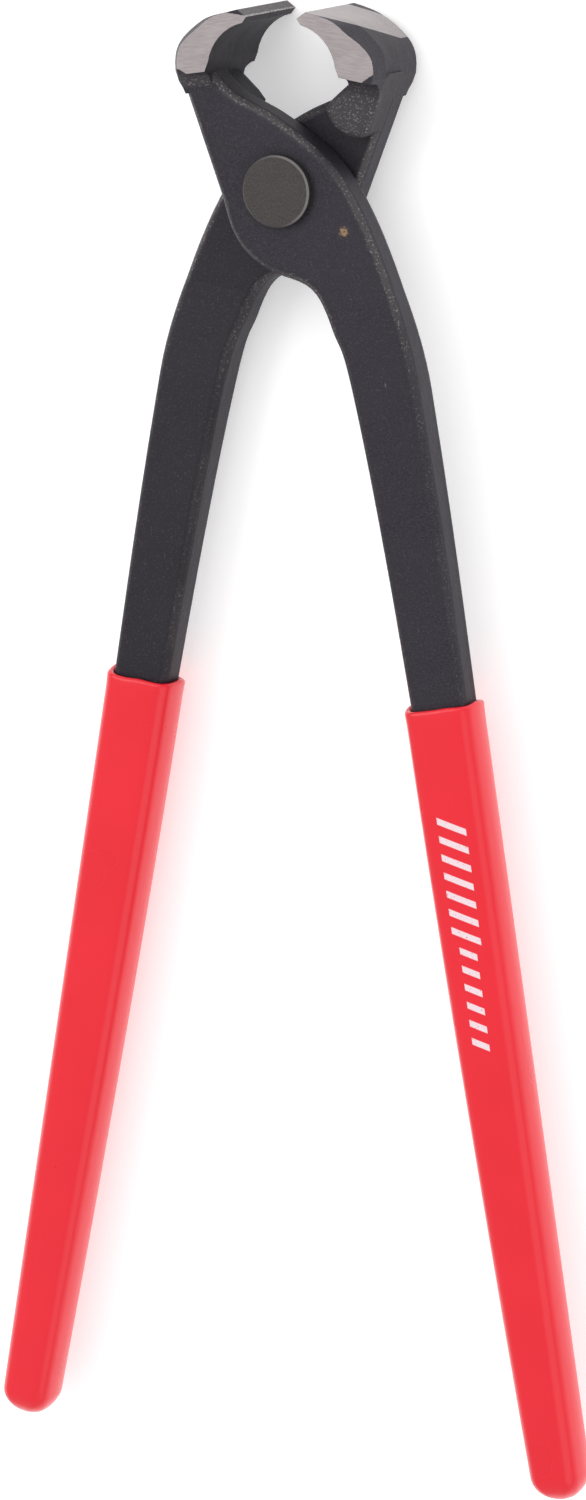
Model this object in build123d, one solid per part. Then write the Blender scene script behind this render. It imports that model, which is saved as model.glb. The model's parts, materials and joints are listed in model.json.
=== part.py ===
from build123d import *
import os
from math import cos, radians, sin

# Long-handled end-nipper pincers, lying flat on their jaws.
# Sizes are in millimetres.  Each lever is drawn closed, with the pivot axis on Z at
# (0, 0), the jaws towards +Y and the handles towards -Y, and is then opened.

# Whole tool
closed_length = 280.0       # jaw top to the end of the sleeve
open_angle = 8.8            # each lever, from closed to the open rest pose

# Jaws
jaw_width = 22.2            # across the nipping edge, along the pivot axis
edge_reach = 31.4           # pivot to the nipping edge
edge_half_gap = 0.05        # half the gap left between the closed edges
land_width = 1.5            # blunt top face of the edge
land_rise = 1.45            # how far it stands above the nipping edge
inner_bevel = 1.0           # ground bevel inside the edge
shoulder_y = 23.4           # widest point of the jaw
throat_x = 10.1             # deepest corner of the throat
throat_y = 21.9
throat_flank = 1.4          # how far the straight flank leans out to its corner
throat_arc_y = 24.3         # where the round throat ends in a straight flank
step_y = 22.7               # full width above this line
step_run = 3.6              # run of the hollow steps down from full width
step_sink = 0.15            # how far they end under the plate's and the web's faces
jaw_foot = 1.0              # how far the jaw sinks into the plate below the steps
full_wall = [(-16.6, shoulder_y), (-15.1, 28.2), (-11.1, 31.2)]   # outer wall in the middle
front_wall = [(-14.9, shoulder_y), (-13.6, 27.7), (-9.5, 30.6)]   # and at each side face,
back_wall = [(-16.1, shoulder_y), (-14.7, 27.6), (-9.5, 30.6)]    # where it has leaned in
front_lean_depth = 3.0
back_lean_depth = 5.0

# Web that carries the jaw on its lap side
web_depth_top = 6.6
web_depth_tip = 5.0
web_length = 15.0           # from the top down to where it has thinned
web_throat = (-6.7, 17.9)   # lower end of the throat flank
web_tip_radius = 15.1       # clears the other lever's plate
web_round = 1.4

# Lap joint
plate_thickness = 7.3
lap_gap = 0.1               # between the two lap faces
boss_x = 11.8               # plate's edge beside the pivot
boss_y = 0.5
boss_side = (-10.9, -5.3)
boss_low = (-7.9, -11.2)

# Arm
arm_thickness = 7.4
arm_offset = 0.9            # arm's middle from the lap plane, beside the sleeve
joggle_start = 21.0
joggle_end = 80.0
arm_root = 39.0             # pivot to where the arm is fully formed
arm_outer_x = 21.15
arm_flare = 0.8             # how far the outer edge moves out along the sleeve
arm_width_root = 12.95
arm_width_collar = 10.95
arm_width_tail = 7.4
arm_taper = 1.5             # how late the sleeved end narrows
arm_lean = 0.06             # slope of the arm's inner edge
arm_round = 1.7

# Rivet
rivet_diameter = 8.0
rivet_clearance = 0.05      # radial, in the lever that turns on it
head_diameter = 13.0
head_height = 1.65
head_chamfer = 0.35
head_gap = 0.08             # under each head

# Dipped sleeves
sleeve_start = 96.0         # pivot to the open end of the sleeve
sleeve_wall = 1.4
sleeve_end_wall = 3.0
sleeve_round = 3.2

# Worked out
half_width = jaw_width / 2
jaw_top = edge_reach + land_rise
handle_reach = closed_length - jaw_top
steel_reach = handle_reach - sleeve_end_wall
lap = lap_gap / 2
plate_front = lap + plate_thickness


def arm_outer(reach):
    """Outer edge of the arm at this distance from the pivot: it flares along the sleeve."""
    return arm_outer_x + arm_flare * max(0.0, reach - sleeve_start) / (steel_reach - sleeve_start)


def arm_width(reach):
    """Width of the arm, which tapers to the sleeve and again to the tail."""
    if reach < sleeve_start:
        share = (reach - arm_root) / (sleeve_start - arm_root)
        return arm_width_root + share * (arm_width_collar - arm_width_root)
    share = ((reach - sleeve_start) / (steel_reach - sleeve_start)) ** arm_taper
    return arm_width_collar + share * (arm_width_tail - arm_width_collar)


def arm_points():
    """Outer and inner edge points of the arm, from the root to the tail."""
    half_bare = (arm_root + sleeve_start) / 2
    half_sleeved = (sleeve_start + steel_reach) / 2
    reaches = [arm_root, half_bare, sleeve_start, half_sleeved, steel_reach]
    outer = [Vector(arm_outer(reach), -reach) for reach in reaches]
    inner = [Vector(arm_outer(reach) - arm_width(reach), -reach) for reach in reaches]
    return outer, inner


def neck_point(y):
    """Point of the straight outer edge that runs from the boss up to the shoulder."""
    share = (y - boss_y) / (shoulder_y - boss_y)
    return Vector(share * (full_wall[0][0] + boss_x) - boss_x, y)


def lever_plan():
    """Plan of the plate and the arm of one closed lever."""
    outer, inner = arm_points()
    shoulder = neck_point(shoulder_y)
    boss = neck_point(boss_y)
    root = (-throat_x, shoulder_y)
    top = Line(root, shoulder)
    neck = Line(shoulder, boss)
    neck_way = (boss - shoulder).normalized()
    arm_way = Vector(arm_lean, -1)
    plate_inside = Spline(
        boss, boss_side, boss_low, (-2.7, -15.1), (3.2, -18.4), (6.2, -26.5), inner[0],
        tangents=[neck_way, arm_way],
    )
    arm_inside = Spline(*inner, tangents=[arm_way, arm_way])
    tail = Line(inner[-1], outer[-1])
    arm_outside = Spline(*reversed(outer), tangents=[(0, 1), (0, 1)])
    plate_outside = Spline(
        outer[0], (18.6, -18.5), (14.2, -3.5), (10.1, 4.2), (4.6, 10.0), (-1.7, 15.05), (-6.4, 18.2), root,
        tangents=[(0, 1), (-0.5, 1)],
    )
    return make_face([top, neck, plate_inside, arm_inside, tail, arm_outside, plate_outside])


def side_view():
    """Side view of the plate and the arm: y along the tool, z across it."""
    arm_front = arm_offset + arm_thickness / 2
    arm_back = arm_offset - arm_thickness / 2
    ahead = (1, 0)
    back = (-1, 0)
    front_joggle = Spline((-joggle_start, plate_front), (-joggle_end, arm_front), tangents=[back, back])
    back_joggle = Spline((-joggle_end, arm_back), (-joggle_start, lap), tangents=[ahead, (1, 0.1)])
    return make_face([
        Line((shoulder_y, plate_front), (-joggle_start, plate_front)),
        front_joggle,
        Line((-joggle_end, arm_front), (-steel_reach, arm_front)),
        Line((-steel_reach, arm_front), (-steel_reach, arm_back)),
        Line((-steel_reach, arm_back), (-joggle_end, arm_back)),
        back_joggle,
        Line((-joggle_start, lap), (shoulder_y, lap)),
        Line((shoulder_y, lap), (shoulder_y, plate_front)),
    ])


def plate_and_arm():
    """Plate and arm as one forging, rounded in front, and behind along the arm."""
    blank = extrude(Pos(0, 0, -jaw_width) * lever_plan(), 2 * jaw_width)
    body = blank & extrude(Plane.YZ * side_view(), closed_length, both=True)
    long_edges = body.edges().filter_by(lambda edge: edge.bounding_box().size.Y > 1)
    front = long_edges.filter_by(lambda edge: edge.center().Z > arm_offset)
    body = body.fillet(arm_round, front)
    behind = body.edges().filter_by(
        lambda edge: edge.center().Z < lap - 0.3
        and edge.center().Y < -joggle_start
        and edge.bounding_box().size.Y > joggle_start
    )
    return body.fillet(arm_round, behind)


def jaw_wall(points):
    """Outer wall of one closed jaw, from the shoulder through these points to the blunt land."""
    land = (-edge_half_gap - land_width, jaw_top)
    return Spline(*points, land, tangents=[(0.05, 1), (1, 0.08)])


def jaw_profile():
    """Profile of one closed jaw, down to the corner of its throat."""
    edge = (-edge_half_gap, edge_reach)
    wall = jaw_wall(full_wall)
    bevel = (-edge_half_gap - inner_bevel, edge_reach - inner_bevel)
    throat_top = (-throat_x + throat_flank, throat_arc_y)
    throat = (-throat_x, throat_y)
    foot = neck_point(step_y - step_run - jaw_foot)
    return make_face([
        Line(edge, bevel),
        ThreePointArc(bevel, (-6.5, 27.9), throat_top),
        Line(throat_top, throat),
        Line(throat, (-throat_x, foot.Y)),
        Line((-throat_x, foot.Y), foot),
        Line(foot, wall @ 0),
        wall,
        Line(wall @ 1, edge),
    ])


def wall_section(z, points):
    """Room inside the outer wall at this height, open well past the throat and the plate."""
    wall = jaw_wall(points)
    land = wall @ 1
    above = land + Vector(closed_length / 10, jaw_top - edge_reach)
    low = Vector(-boss_x, 0)
    return Pos(0, 0, z) * make_face([
        wall,
        Line(land, above),
        Line(above, (above.X, low.Y)),
        Line((above.X, low.Y), low),
        Line(low, wall @ 0),
    ])


def hollow_step(side_face, floor):
    """Side view of the hollow step from a side face down to the floor beside it."""
    start = Vector(step_y, side_face)
    fall = Vector(-step_run, floor - side_face)
    middle = start + Vector(fall.X * (1 - sin(radians(45))), fall.Y * sin(radians(45)))
    return ThreePointArc(start, middle, start + fall)


def jaw():
    """Full-width jaw: stepped down below its side faces, its outer wall leaning in."""
    front_step = hollow_step(half_width, plate_front - step_sink)
    back_step = hollow_step(-half_width, -web_depth(step_y - step_run) + step_sink)
    side = make_face([
        Line((jaw_top, half_width), front_step @ 0),
        front_step,
        Line(front_step @ 1, back_step @ 1),
        back_step,
        Line(back_step @ 0, (jaw_top, -half_width)),
        Line((jaw_top, -half_width), (jaw_top, half_width)),
    ])
    body = extrude(Pos(0, 0, -jaw_width) * jaw_profile(), 2 * jaw_width)
    body = body & extrude(Plane.YZ * side, closed_length, both=True)
    leaning = loft([
        wall_section(-half_width, back_wall),
        wall_section(back_lean_depth - half_width, full_wall),
        wall_section(half_width - front_lean_depth, full_wall),
        wall_section(half_width, front_wall),
    ], ruled=True)
    return body & leaning


def web_depth(y):
    """How far the web's face stands behind the lap plane: it thins towards the tip."""
    share = (throat_arc_y - y) / web_length
    return web_depth_top + share * (web_depth_tip - web_depth_top)


def web():
    """Web on the lap side that carries the jaw, with a rounded rim and a finger-shaped tip."""
    inside = throat_arc_y
    tip_angle = radians(118)
    tip_start = Vector(*web_throat) + Vector(1.2, -1.9)
    tip = (web_tip_radius * cos(tip_angle), web_tip_radius * sin(tip_angle))
    tip_side = neck_point(web_tip_radius * 0.88)
    tip_end = tip_side + Vector(1.4, -1.3)
    plan = make_face([
        Line((-throat_x, inside), (-throat_x, throat_y)),
        Line((-throat_x, throat_y), web_throat),
        Line(web_throat, tip_start),
        ThreePointArc(tip_start, tip, tip_end),
        Line(tip_end, tip_side),
        Line(tip_side, neck_point(inside)),
        Line(neck_point(inside), (-throat_x, inside)),
    ])
    low = tip[1] - 4
    side = make_face(Polyline(
        (inside, 1), (low, 1), (low, -web_depth(low)), (inside, -web_depth(inside)), close=True,
    ))
    body = extrude(Pos(0, 0, -jaw_width) * plan, 2 * jaw_width)
    body = body & extrude(Plane.YZ * side, closed_length, both=True)
    under = body.faces().sort_by(Axis.Z)[0]
    rim = under.edges().filter_by(lambda edge: edge.center().Y < inside - 1)
    return body.fillet(web_round, rim)


def lever(bore_radius):
    """One closed lever with its rivet bore."""
    body = plate_and_arm() + jaw() + web()
    return body - Cylinder(bore_radius, 4 * jaw_width)


def rivet():
    """Shank and two equal heads, its middle on the lap plane."""
    shank_length = 2 * (plate_front + head_gap)
    head = Cylinder(head_diameter / 2, head_height)
    rim = head.edges().filter_by(GeomType.CIRCLE).sort_by(Axis.Z)[-1]
    head = head.chamfer(head_chamfer, None, [rim])
    front_head = Pos(0, 0, (shank_length + head_height) / 2) * head
    return Cylinder(rivet_diameter / 2, shank_length) + front_head + Rot(0, 180, 0) * front_head


def sleeve():
    """Dipped sleeve over the end of one closed lever's arm, hollow to take the steel."""
    outer, inner = arm_points()
    collar_out, centre_out = [point + Vector(sleeve_wall, 0) for point in outer[2:4]]
    collar_in, centre_in = [point - Vector(sleeve_wall, 0) for point in inner[2:4]]
    nose_radius = arm_width_tail / 2 + sleeve_wall
    nose = (outer[-1] + inner[-1]) / 2
    nose = Vector(nose.X, nose_radius - handle_reach)
    nose_out = nose + Vector(nose_radius, 0)
    nose_in = nose - Vector(nose_radius, 0)
    plan = make_face([
        Line(collar_in, collar_out),
        Spline(collar_out, centre_out, nose_out, tangents=[(0, -1), (0, -1)]),
        ThreePointArc(nose_out, nose - Vector(0, nose_radius), nose_in),
        Spline(nose_in, centre_in, collar_in, tangents=[(0, 1), (-arm_lean, 1)]),
    ])
    thickness = arm_thickness + 2 * sleeve_wall
    body = extrude(Pos(0, 0, arm_offset) * plan, thickness / 2, both=True)
    long_edges = body.edges().filter_by(
        lambda edge: edge.bounding_box().size.Y > 1 and edge.bounding_box().size.Z < 1
    )
    body = body.fillet(sleeve_round, long_edges)
    return body - plate_and_arm()


def opened(shape):
    """The front lever's place, open at rest."""
    return Rot(0, 0, open_angle) * shape


def turned_over(shape):
    """The rear lever's place: the front one turned half round the tool's long axis."""
    return Rot(0, 180, 0) * opened(shape)


parts = {
    "front_lever": opened(lever(rivet_diameter / 2)),
    "rear_lever": turned_over(lever(rivet_diameter / 2 + rivet_clearance)),
    "rivet": rivet(),
    "right_grip": opened(sleeve()),
    "left_grip": turned_over(sleeve()),
}
boxes = [shape.bounding_box() for shape in parts.values()]
low_end = min(box.min.Y for box in boxes)
high_end = max(box.max.Y for box in boxes)
stand = Pos(0, -(low_end + high_end) / 2, half_width)
os.makedirs("parts", exist_ok=True)
for name, shape in parts.items():
    export_step(stand * shape, f"parts/{name}.step")
print("pivot axis at y", round(stand.position.Y, 3), "and lap plane at z", half_width)
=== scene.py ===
import json
import math

import bpy
import numpy as np
from mathutils import Euler, Matrix, Vector


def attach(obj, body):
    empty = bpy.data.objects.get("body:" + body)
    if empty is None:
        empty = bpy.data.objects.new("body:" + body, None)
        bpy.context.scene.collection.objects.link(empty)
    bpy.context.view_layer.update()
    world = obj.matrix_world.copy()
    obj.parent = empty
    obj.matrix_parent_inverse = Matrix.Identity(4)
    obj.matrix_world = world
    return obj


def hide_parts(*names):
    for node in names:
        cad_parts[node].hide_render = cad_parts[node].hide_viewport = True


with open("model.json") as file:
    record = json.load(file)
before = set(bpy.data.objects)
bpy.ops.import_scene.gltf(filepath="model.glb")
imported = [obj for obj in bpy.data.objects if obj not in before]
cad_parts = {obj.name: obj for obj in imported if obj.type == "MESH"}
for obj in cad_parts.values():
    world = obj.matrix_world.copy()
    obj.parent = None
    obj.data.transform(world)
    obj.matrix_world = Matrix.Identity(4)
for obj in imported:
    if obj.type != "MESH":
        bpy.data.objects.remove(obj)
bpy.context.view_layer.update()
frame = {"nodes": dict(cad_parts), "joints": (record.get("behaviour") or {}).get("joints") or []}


# The pair of levers.  Each is one drop forging with its arm, its half of the lap joint and its
# jaw, phosphated black, then ground bright on the jaw's side faces and along the top of its
# outer wall.  Both are the same forging: the rear one is turned over.
pivot = Vector(frame["joints"][0]["pos_m"])
half_open = math.radians(8.8)
lever_turns = {"front": (0, 0, -half_open), "rear": (0, math.pi, -half_open)}
mm_per_m = 1000

jaw_half_width = 11.1
# The lines that bound the ground side faces: x * along + y * across > reach, on one side of the lap.
patch_cuts = (
    {"side": 1, "along": -0.25, "across": -0.97, "reach": -30.7},
    {"side": 1, "along": 0.56, "across": 0.83, "reach": 11.49},
    {"side": -1, "along": 0.69, "across": 0.73, "reach": 6.78},
)
band_foot = 30.4        # lower edge of the ground band on the outer wall, at the lap plane
band_slant = 0.2136     # how fast that edge falls with height, up to band_bend
band_bend = 5.0
band_end = 8.4          # where the band stops, short of one side face
band_inner_x = -1.54    # where it stops before the blunt land
rust_spot = (11.4, -8.5)

scale_blacks = (0.015, 0.0125, 0.0185), (0.034, 0.0295, 0.040)
cloud_black = (0.028, 0.026, 0.033)
# painted shade for the step below each jaw and the recess under the lap plate
painted_shade_black = (0.009, 0.008, 0.011)
# worn edges, and the painted light on the web
wear_and_painted_light_grey = (0.088, 0.081, 0.083)
speck_grey = (0.27, 0.245, 0.24)
nick_grey = (0.17, 0.16, 0.16)
land_greys = (0.045, 0.041, 0.044), (0.14, 0.13, 0.133)
ground_greys = (0.265, 0.232, 0.238), (0.34, 0.31, 0.308)
pit_grey = (0.13, 0.11, 0.108)
edge_grey = (0.42, 0.40, 0.39)
rust_brown = (0.30, 0.19, 0.10)


class Field:
    """A value over a surface: a node's output, which adds, multiplies and so on into new nodes."""

    def __init__(self, socket):
        self.socket = socket
        self.tree = socket.id_data

    def joined(self, operation, first, second=0.0):
        """One arithmetic node on two values."""
        node = self.tree.nodes.new("ShaderNodeMath")
        node.operation = operation
        feed(node.inputs[0], first)
        feed(node.inputs[1], second)
        return Field(node.outputs[0])

    def __add__(self, other):
        return self.joined("ADD", self, other)

    def __sub__(self, other):
        return self.joined("SUBTRACT", self, other)

    def __rsub__(self, other):
        return self.joined("SUBTRACT", other, self)

    def __mul__(self, other):
        return self.joined("MULTIPLY", self, other)

    def __truediv__(self, other):
        return self.joined("DIVIDE", self, other)

    def __abs__(self):
        return self.joined("ABSOLUTE", self)

    def lower(self, other):
        return self.joined("MINIMUM", self, other)

    def higher(self, other):
        return self.joined("MAXIMUM", self, other)

    def root(self):
        return self.joined("SQRT", self)

    def fraction(self):
        return self.joined("FRACT", self)


def feed(entry, value):
    """Set a node's input to a field, a colour or a plain value."""
    if isinstance(value, Field):
        value.tree.links.new(value.socket, entry)
    elif entry.type == "RGBA":
        entry.default_value = (*value, 1)
    else:
        entry.default_value = value


def new_finish(name):
    """An empty node material and its shader."""
    material = bpy.data.materials.new(name)
    material.use_nodes = True
    return material, material.node_tree.nodes["Principled BSDF"]


def step(field, low, high):
    """0 below low and 1 above high, eased in between; the other way round if low is above high."""
    node = field.tree.nodes.new("ShaderNodeMapRange")
    node.interpolation_type = "SMOOTHSTEP"
    feed(node.inputs["Value"], field)
    feed(node.inputs["From Min"], low)
    feed(node.inputs["From Max"], high)
    return Field(node.outputs["Result"])


def mix(share, first, second):
    """A mix of two colours or fields by a 0 to 1 share."""
    node = share.tree.nodes.new("ShaderNodeMix")
    node.data_type = "RGBA"
    feed(node.inputs["Factor"], share)
    colour_inputs = [entry for entry in node.inputs if entry.type == "RGBA"]
    for entry, value in zip(colour_inputs, (first, second)):
        feed(entry, value)
    return Field([result for result in node.outputs if result.type == "RGBA"][0])


def noise(place, scale, detail=2.0, roughness=0.5):
    """Noise of about 1/scale millimetres, 0 to 1."""
    node = place.tree.nodes.new("ShaderNodeTexNoise")
    feed(node.inputs["Vector"], place)
    feed(node.inputs["Scale"], scale)
    feed(node.inputs["Detail"], detail)
    feed(node.inputs["Roughness"], roughness)
    return Field(node.outputs["Fac"])


def parts_of(vector):
    """The x, y and z of a vector field."""
    node = vector.tree.nodes.new("ShaderNodeSeparateXYZ")
    feed(node.inputs["Vector"], vector)
    return [Field(part) for part in node.outputs]


def surface_fields(material):
    """Object coordinates and surface normal of a material."""
    node = material.node_tree.nodes.new("ShaderNodeTexCoord")
    return Field(node.outputs["Object"]), Field(node.outputs["Normal"])


def closed_place(material, turn):
    """Object coordinates in millimetres from the pivot, turned back to the closed lever."""
    place = surface_fields(material)[0]
    node = place.tree.nodes.new("ShaderNodeMapping")
    feed(node.inputs["Vector"], place)
    feed(node.inputs["Scale"], (mm_per_m, mm_per_m, mm_per_m))
    feed(node.inputs["Rotation"], turn)
    feed(node.inputs["Location"], -(Euler(turn).to_matrix() @ pivot) * mm_per_m)
    return Field(node.outputs["Vector"])


def stretched(place, scale, turn=(0, 0, 0)):
    """The same place squeezed along one way, so that noise on it draws out into lines."""
    node = place.tree.nodes.new("ShaderNodeMapping")
    feed(node.inputs["Vector"], place)
    feed(node.inputs["Rotation"], turn)
    feed(node.inputs["Scale"], scale)
    return Field(node.outputs["Vector"])


def bump(height, depth_mm, under=None):
    """A relief of this depth, on top of another one if given."""
    node = height.tree.nodes.new("ShaderNodeBump")
    feed(node.inputs["Strength"], 1.0)
    feed(node.inputs["Distance"], depth_mm / mm_per_m)
    feed(node.inputs["Height"], height)
    if under is not None:
        feed(node.inputs["Normal"], under)
    return Field(node.outputs["Normal"])


def ground_masks(x, y, z, ragged):
    """Where the jaw is ground bright; its blunt land; and the land's nipping edge."""
    side = step(abs(z) + ragged * 0.5, jaw_half_width - 0.26, jaw_half_width - 0.18)
    for cut in patch_cuts:
        rise = x * cut["along"] + y * cut["across"] + ragged * 0.4
        kept = step(rise, cut["reach"], cut["reach"] + 0.1)
        other_side = step(z, 0.1 * cut["side"], -0.1 * cut["side"])
        side = side * kept.higher(other_side)
    rise = y + z.lower(band_bend) * band_slant + ragged * 0.12
    band = step(rise, band_foot - 0.04, band_foot + 0.04)
    band = band * step(x, band_inner_x + 0.04, band_inner_x - 0.04)
    band = band * step(z + ragged * 0.6, band_end + 0.1, band_end - 0.1)
    on_wall = step(x * x * 0.016 + y, 31.8, 31.9)
    land = step(x * 0.695 + y * 0.719, 22.42, 22.48)
    edge = land * step(x + ragged * 0.5, -0.34, -0.2)
    return side.higher(band * on_wall), land, edge


def wear_and_painted_light_masks(normal_z, y, z, clouds):
    """How worn the rounded edges are, most near the joint; and the same with the web's face added,
    painted lighter as if lit.
    """
    flat = normal_z * normal_z
    rounded = step(flat * (1.0 - flat) * 4.0, 0.15, 0.8)
    near_joint = step(y, -40, -16) * step(y, 24, 20) * 0.75 + 0.25
    patchy = step(clouds, 0.38, 0.6) * 0.6 + 0.4
    worn = rounded * (near_joint * patchy)
    # Painted light: the raised web beside the lap is lightened as if lit.
    painted_lit_web = step(z, -4.2, -4.9) * step(y, 21.2, 19.0) * step(y, 8.0, 10.0)
    return worn, worn.higher(painted_lit_web * 0.7)


def forged_finish(name, turn, rust):
    """Black forging, bright where it is ground, lighter and speckled where its edges are worn, with
    painted shade in its recesses and painted light on its web.
    """
    material, shader = new_finish(name)
    place = closed_place(material, turn)
    x, y, z = parts_of(place)
    normal_z = parts_of(surface_fields(material)[1])[2]
    grain = noise(place, 3.2, 3.0, 0.65)
    hammering = noise(place, 0.55, 4.0, 0.6)
    clouds = noise(place, 0.07)
    ragged = noise(place, 1.6, 4.0, 0.7) - 0.5
    strokes = noise(stretched(place, (0.25, 3.0, 1), (0, 0, 0.12)), 1.6, 4.0, 0.65)
    scratches = noise(stretched(place, (1, 0.22, 1), (0, 0, 0.3)), 1.5, 4.0, 0.7)
    ground, land, edge = ground_masks(x, y, z, ragged)
    worn, wear_and_painted_light = wear_and_painted_light_masks(normal_z, y, z, clouds)
    specks = step(noise(place, 2.4, 2.0, 0.6), 0.56, 0.68) * (wear_and_painted_light * 0.92 + 0.08)
    nicks = step(scratches, 0.69, 0.72) * step(clouds, 0.5, 0.6)
    pits = step(noise(place, 0.9, 3.0, 0.75), 0.68, 0.74)
    # Painted shade: the step just below each jaw's ground side face and the recess under the lap plate
    # are darkened.
    shade_beside_jaw = step(abs(z), 7.4, 8.2) * step(y, 22.9, 22.5)
    shade_under_plate = step(z, 0.6, 0.2) * step(z, -4.2, -2.5)

    colour = mix(step(grain, 0.3, 0.72), *scale_blacks)
    colour = mix(step(clouds, 0.3, 0.75) * 0.6, colour, cloud_black)
    colour = mix(shade_beside_jaw.higher(shade_under_plate) * 0.45, colour, painted_shade_black)
    # Worn edges lighter, and the web lighter with painted light.
    colour = mix(wear_and_painted_light * 0.55, colour, wear_and_painted_light_grey)
    colour = mix(specks * 0.75, colour, speck_grey)
    colour = mix(nicks * 0.5, colour, nick_grey)
    colour = mix(land, colour, mix(step(grain, 0.35, 0.7), *land_greys))
    bright = mix(step(strokes, 0.3, 0.72), *ground_greys)
    colour = mix(ground, colour, mix(pits * 0.4, bright, pit_grey))
    colour = mix(edge * step(grain, 0.38, 0.55), colour, edge_grey)
    if rust:
        off_x, off_y = x - rust_spot[0], y - rust_spot[1]
        reach = (off_x * off_x + off_y * off_y).root() + ragged * 3.0
        colour = mix(step(reach, 1.1, 0.6) * step(grain, 0.36, 0.56), colour, rust_brown)
    feed(shader.inputs["Base Color"], colour)

    dull = grain * 0.16 + 0.46
    polish = ground.higher(worn * 0.6)
    feed(shader.inputs["Roughness"], dull + polish * (strokes * 0.14 + 0.32 - dull))
    feed(shader.inputs["Metallic"], ground * 0.55 + 0.25)
    feed(shader.inputs["Specular IOR Level"], 0.3)
    relief = bump(clouds, 0.5)
    relief = bump(hammering * (1.0 - ground), 0.1, relief)
    relief = bump(grain * (1.0 - ground * 0.9), 0.035, relief)
    relief = bump(strokes * ground, 0.02, relief)
    feed(shader.inputs["Normal"], relief)
    return material


for side, node in (("front", "front_lever"), ("rear", "rear_lever")):
    finish = forged_finish(f"forged_{side}", lever_turns[side], rust=side == "front")
    for slot in frame["nodes"][node].material_slots:
        slot.material = finish


# The rivet that the levers turn on.  A plain steel rivet with two equal flat heads, pressed
# cold and left bronze-grey, its rim painted with a bright highlight, strongest on one side.
head_radius = 6.5
bronze_greys = (0.026, 0.022, 0.0215), (0.066, 0.057, 0.055)
cloud_bronze = (0.05, 0.044, 0.042)
# painted highlight on the head's rim
rim_highlight_grey = (0.21, 0.195, 0.19)

rivet_finish, shader = new_finish("pressed_rivet")
place = closed_place(rivet_finish, (0, 0, 0))
x, y, z = parts_of(place)
reach = (x * x + y * y).root()
grain = noise(place, 3.4, 3.0, 0.7)
clouds = noise(place, 0.25, 3.0)
press_lines = noise(stretched(place, (0.2, 4, 1), (0, 0, 0.9)), 1.2, 3.0, 0.6)
# Painted highlight round the head's rim, faint all round and brightest on one side.
rim_highlight = step(reach + (clouds - 0.5) * 0.25, head_radius - 0.45, head_radius - 0.32)
rim_highlight = rim_highlight * (1.0 - step(reach, head_radius - 0.06, head_radius - 0.02))
rim_highlight = rim_highlight * (step(x + y * 0.45, -2.5, 3.5) * 0.85 + 0.15)
colour = mix(step(grain, 0.3, 0.72), *bronze_greys)
colour = mix(step(clouds, 0.3, 0.8) * 0.5, colour, cloud_bronze)
feed(shader.inputs["Base Color"], mix(rim_highlight * 0.8, colour, rim_highlight_grey))
feed(shader.inputs["Roughness"], grain * 0.2 + 0.36)
feed(shader.inputs["Metallic"], 0.45)
feed(shader.inputs["Normal"], bump(press_lines, 0.01, bump(grain, 0.03, bump(clouds, 0.15))))
for slot in frame["nodes"]["rivet"].material_slots:
    slot.material = rivet_finish


# The two grips.  Each arm is dipped hot in red vinyl, which sets as a glossy skin with a
# rounded tail and stands off the steel in a soft, slightly uneven lip at the collar.
collar_reach = 96.0
tail_reach = 247.13
end_wall = 3.0
skin = 1.4
collar_width = 10.95
tail_width = 7.4
width_taper = 1.5
arm_thickness = 7.4
arm_outer_x = 21.15
arm_flare = 0.8
arm_middle_z = 0.9
corner_round = 1.9
side_bow = 0.9
face_bow = 0.25
lip_gap = 0.3
lip_swell = 0.125
lip_swell_reach = 1.6
lip_waves = ((0.22, 2, 0.8), (0.10, 4, 2.1), (0.04, 7, 0.3))
lip_wave_reach = 3.0
lip_drop = 0.1
recess_depth = 2.6
round_steps = 112

reds = (0.70, 0.0045, 0.016), (0.78, 0.007, 0.023)
ink_white = (0.80, 0.70, 0.74)
dust_pink = (0.85, 0.35, 0.38)
print_start_y = -160.0
print_middle_x = 16.1
bar_pitch = 3.4
bar_slant = 0.13
bars = 13
short_bars = 6
short_bar_reach = 1.7
long_bar_extra = 1.1


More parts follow.
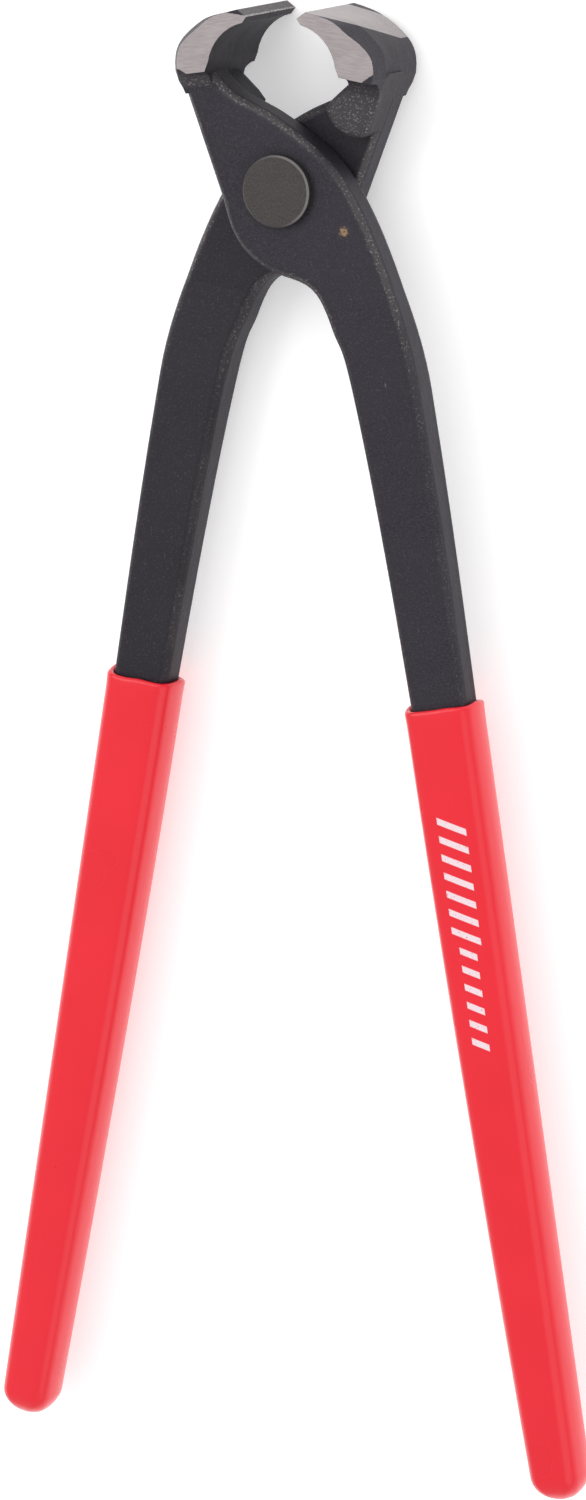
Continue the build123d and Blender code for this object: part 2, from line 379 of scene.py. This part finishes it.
def grip_mesh(name, turn):
    """A rounded rectangle carried along the arm.  u runs round it and v along it: from the tail's
    pole round a half-circle nose, up the arm to the collar, over the lip on a half circle and
    down the wall of the recess, to a pole inside the steel.  Across the tool the rectangle spans
    the arm's two edges plus the skin; its half sizes shrink to nothing at the tail's pole.  Its
    sides bow out by the square of the height, so each corner stays a soft ridge."""
    nose_radius = tail_width / 2 + skin
    nose_reach = tail_reach - nose_radius
    lip_reach = collar_reach + skin / 2
    nose = np.linspace(0.0, np.pi / 2, 15)[1:]
    body = np.linspace(nose_reach, lip_reach, 72)[1:]
    lip = np.linspace(0.0, np.pi, 10)[1:]
    wall = np.linspace(0.0, recess_depth, 5)[1:]
    reach = np.concatenate([
        nose_reach + nose_radius * np.cos(nose),
        body,
        lip_reach - np.sin(lip) * skin / 2,
        lip_reach + wall,
    ])
    shrink = np.concatenate([np.sin(nose), np.ones(len(body) + len(lip) + len(wall))])
    turned_in = [np.zeros(len(nose) + len(body)), (1 - np.cos(lip)) / 2, np.ones(len(wall))]
    inward = np.concatenate(turned_in) * (skin - lip_gap)
    share = np.clip((reach - collar_reach) / (tail_reach - end_wall - collar_reach), 0, 1)
    width = collar_width + (tail_width - collar_width) * share ** width_taper
    middle = arm_outer_x + arm_flare * share - width / 2
    swell = lip_swell * np.exp(-((reach - collar_reach) / lip_swell_reach) ** 2) * (inward < 0.6)
    half_x = ((width / 2 + skin - inward + swell) * shrink)[:, None]
    half_z = ((arm_thickness / 2 + skin - inward) * shrink)[:, None]
    corner = np.minimum(corner_round - inward[:, None] * 0.6, np.minimum(half_x, half_z) * 0.96)

    u = np.linspace(0, 2 * np.pi, round_steps, endpoint=False)
    square = np.maximum(np.abs(np.cos(u)), np.abs(np.sin(u)))
    flat_x = np.cos(u) / square * half_x
    flat_z = np.sin(u) / square * half_z
    core_x = np.clip(flat_x, corner - half_x, half_x - corner)
    core_z = np.clip(flat_z, corner - half_z, half_z - corner)
    off = np.maximum(np.hypot(flat_x - core_x, flat_z - core_z), 1e-9)
    put_x = core_x + (flat_x - core_x) / off * corner
    put_z = core_z + (flat_z - core_z) / off * corner

    lean_x = (put_z / half_z) ** 2 * (side_bow / (width / 2 + skin))[:, None]
    lean_z = (put_x / half_x) ** 2 * face_bow / (arm_thickness / 2 + skin)
    near_lip = np.exp(-((reach - collar_reach) / lip_wave_reach) ** 2)[:, None]
    wave = sum(size * np.sin(u * count + phase) for size, count, phase in lip_waves)
    put_y = near_lip * (wave - lip_drop)[None, :] - reach[:, None]
    put_x = middle[:, None] + put_x * (1 - lean_x)
    put_z = arm_middle_z + put_z * (1 - lean_z)
    points = np.stack([put_x, put_y, put_z], -1).reshape(-1, 3)
    tail_pole = [arm_outer_x + arm_flare - tail_width / 2, -tail_reach, arm_middle_z]
    floor_pole = [middle[-1], -reach[-1], arm_middle_z]
    points = np.vstack([points, tail_pole, floor_pole])

    rings = len(reach)
    here = np.arange(round_steps)
    after = (here + 1) % round_steps
    start = np.arange(rings - 1)[:, None] * round_steps
    ahead = start + round_steps
    quads = np.stack([start + here, ahead + here, ahead + after, start + after], -1).reshape(-1, 4)
    tail = np.full(round_steps, rings * round_steps)
    last = (rings - 1) * round_steps
    tail_fan = np.stack([tail, here, after], -1)
    floor_fan = np.stack([last + after, last + here, tail + 1], -1)
    faces = quads.tolist() + tail_fan.tolist() + floor_fan.tolist()

    placed = (points / mm_per_m) @ np.array(Euler(turn).to_matrix().inverted()).T + np.array(pivot)
    mesh = bpy.data.meshes.new(name)
    mesh.from_pydata(placed.tolist(), [], faces)
    mesh.polygons.foreach_set("use_smooth", np.ones(len(mesh.polygons), bool))
    mesh.update()
    return mesh


def printed_bars(x, y, z, grain):
    """Where the front face is printed: a row of slanted bars, the ones nearer the tail shorter."""
    count = (y - print_start_y) / bar_pitch + (x - print_middle_x) * bar_slant
    beat = count.fraction()
    bar = step(beat, 0.2, 0.25) * step(beat, 0.62, 0.57)
    in_row = step(count, 0.0, 0.05) * step(count, bars + 0.05, bars)
    reach = step(count, short_bars, short_bars + 0.05) * long_bar_extra + short_bar_reach
    inside = step(reach - abs(x - print_middle_x), 0.0, 0.12)
    return bar * in_row * inside * step(z, 4.5, 4.8) * step(grain, 0.28, 0.38)


def vinyl_finish(name, turn, printed):
    """Glossy red skin, faintly uneven, with dust specks and, on one grip, the white printed bars."""
    material, shader = new_finish(name)
    place = closed_place(material, turn)
    x, y, z = parts_of(place)
    clouds = noise(place, 0.05)
    grain = noise(place, 3.0)
    dust = step(noise(place, 1.3, 3.0, 0.7), 0.74, 0.78)
    peel = noise(stretched(place, (1, 0.25, 1)), 0.5, 3.0)
    colour = mix(clouds, *reds)
    if printed:
        colour = mix(printed_bars(x, y, z, grain) * 0.93, colour, ink_white)
    feed(shader.inputs["Base Color"], mix(dust * 0.35, colour, dust_pink))
    feed(shader.inputs["Roughness"], clouds * 0.1 + 0.24)
    feed(shader.inputs["Specular IOR Level"], 0.35)
    feed(shader.inputs["Coat Weight"], 0.3)
    feed(shader.inputs["Coat Roughness"], 0.12)
    feed(shader.inputs["Subsurface Weight"], 0.12)
    feed(shader.inputs["Subsurface Radius"], (0.004, 0.001, 0.001))
    feed(shader.inputs["Subsurface Scale"], 0.5)
    feed(shader.inputs["Normal"], bump(grain, 0.004, bump(peel, 0.06)))
    return material


for side, name, node in (("front", "right_sleeve", "right_grip"), ("rear", "left_sleeve", "left_grip")):
    grip = bpy.data.objects.new(name, grip_mesh(name, lever_turns[side]))
    bpy.context.scene.collection.objects.link(grip)
    finish = vinyl_finish(f"vinyl_{side}", lever_turns[side], printed=side == "front")
    grip.data.materials.append(finish)
    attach(grip, side)
    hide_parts(node)


# The table it lies on, a wide sheet of white paper, with the room's light, the lamps and the
# camera.  The paper glows faintly, so that the shadows on it stay soft.
table_reach = 3.0
paper_glow = 0.3
room_light = 0.85
lamps = {
    "key_lamp": {"place": (-0.7, 0.5, 1.1), "size": 0.9, "power": 5.0},
    "fill_lamp": {"place": (0.9, -0.4, 0.9), "size": 1.1, "power": 2.5},
    "top_lamp": {"place": (0.1, 0.9, 0.8), "size": 0.8, "power": 2.0},
}
camera_from_pivot = Vector((0.371136, 0.109636, 0.855258))
camera_right = Vector((0.91700, 0.00359, -0.39887))
camera_up = Vector((-0.09235, 0.97470, -0.20353))
camera_back = Vector((0.38805, 0.22347, 0.89413))

corners = [(-1, -1), (1, -1), (1, 1), (-1, 1)]
table_mesh = bpy.data.meshes.new("table")
table_mesh.from_pydata([(i * table_reach, j * table_reach, 0) for i, j in corners], [], [(0, 1, 2, 3)])
table = bpy.data.objects.new("table", table_mesh)
bpy.context.scene.collection.objects.link(table)
paper, shader = new_finish("white_paper")
feed(shader.inputs["Base Color"], (0.93, 0.93, 0.93))
feed(shader.inputs["Roughness"], 0.9)
feed(shader.inputs["Specular IOR Level"], 0.1)
feed(shader.inputs["Emission Color"], (1, 1, 1))
feed(shader.inputs["Emission Strength"], paper_glow)
table_mesh.materials.append(paper)

world = bpy.data.worlds.new("white_room")
bpy.context.scene.world = world
world.use_nodes = True
background = world.node_tree.nodes["Background"]
feed(background.inputs["Color"], (1.0, 0.99, 1.0))
feed(background.inputs["Strength"], room_light)

for name, lamp in lamps.items():
    light = bpy.data.lights.new(name, "AREA")
    light.shape = "SQUARE"
    light.size = lamp["size"]
    light.energy = lamp["power"]
    holder = bpy.data.objects.new(name, light)
    holder.location = lamp["place"]
    towards_pivot = pivot - Vector(lamp["place"])
    holder.rotation_euler = towards_pivot.to_track_quat("-Z", "Y").to_euler()
    bpy.context.scene.collection.objects.link(holder)

camera = bpy.data.objects.new("camera", bpy.data.cameras.new("camera"))
camera.data.sensor_width = 36
camera.data.lens = 124.407
camera.data.clip_start = 0.05
camera.data.clip_end = 20
camera.matrix_world = Matrix((camera_right, camera_up, camera_back)).transposed().to_4x4()
camera.location = pivot + camera_from_pivot
bpy.context.scene.collection.objects.link(camera)
bpy.context.scene.camera = camera
bpy.context.scene.view_settings.view_transform = "Standard"
